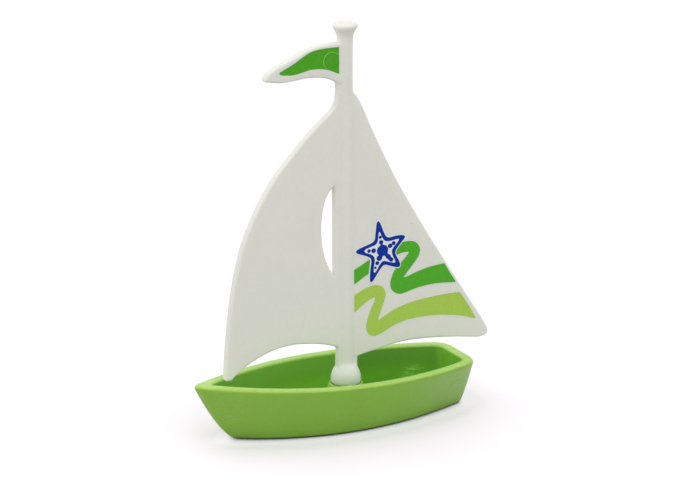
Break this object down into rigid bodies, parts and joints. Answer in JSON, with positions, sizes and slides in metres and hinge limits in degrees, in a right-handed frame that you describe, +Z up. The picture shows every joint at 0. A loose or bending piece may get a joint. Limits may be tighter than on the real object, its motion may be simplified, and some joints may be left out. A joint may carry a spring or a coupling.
{
  "type": "toy sailing boat",
  "caption": "Small moulded toy sailing boat: open flat-bottomed hull with a socket, and a plug-in rig of mast, jib, mainsail and pennant that turns in it.",
  "frame": {"origin": "on the hull's flat bottom, straight below the mast's axis", "axes": "+Z up along the mast, -X towards the bow, +X towards the transom, -Y towards the printed side of the sails"},
  "size_m": [0.0693, 0.0244, 0.0853],
  "materials": {
    "hull_plastic": "satin light green moulded plastic with fine scuffs",
    "rig_plastic": "satin off-white moulded plastic",
    "green_ink": "thin satin pad-print ink",
    "dark_green_ink": "thin satin pad-print ink",
    "light_green_ink": "thin satin pad-print ink",
    "white_ink": "thin satin pad-print ink",
    "blue_ink": "thin satin pad-print ink"
  },
  "bodies": {
    "hull": {"hull": "hull_plastic"},
    "rig": {"mast": "rig_plastic", "jib": "rig_plastic", "mainsail": "rig_plastic", "pennant": "rig_plastic", "pennant_print": "green_ink", "wave_print_dark": "dark_green_ink", "wave_print_dark_fore": "dark_green_ink", "wave_print_light": "light_green_ink", "star_print_white": "white_ink", "star_print_blue": "blue_ink", "star_print_middle": "blue_ink"}
  },
  "joints": [
    {"name": "rig_turn", "type": "hinge", "parent": "hull", "child": "rig", "pos_m": [0, 0, 0.0055], "axis": [0, 0, 1], "continuous": true}
  ]
}
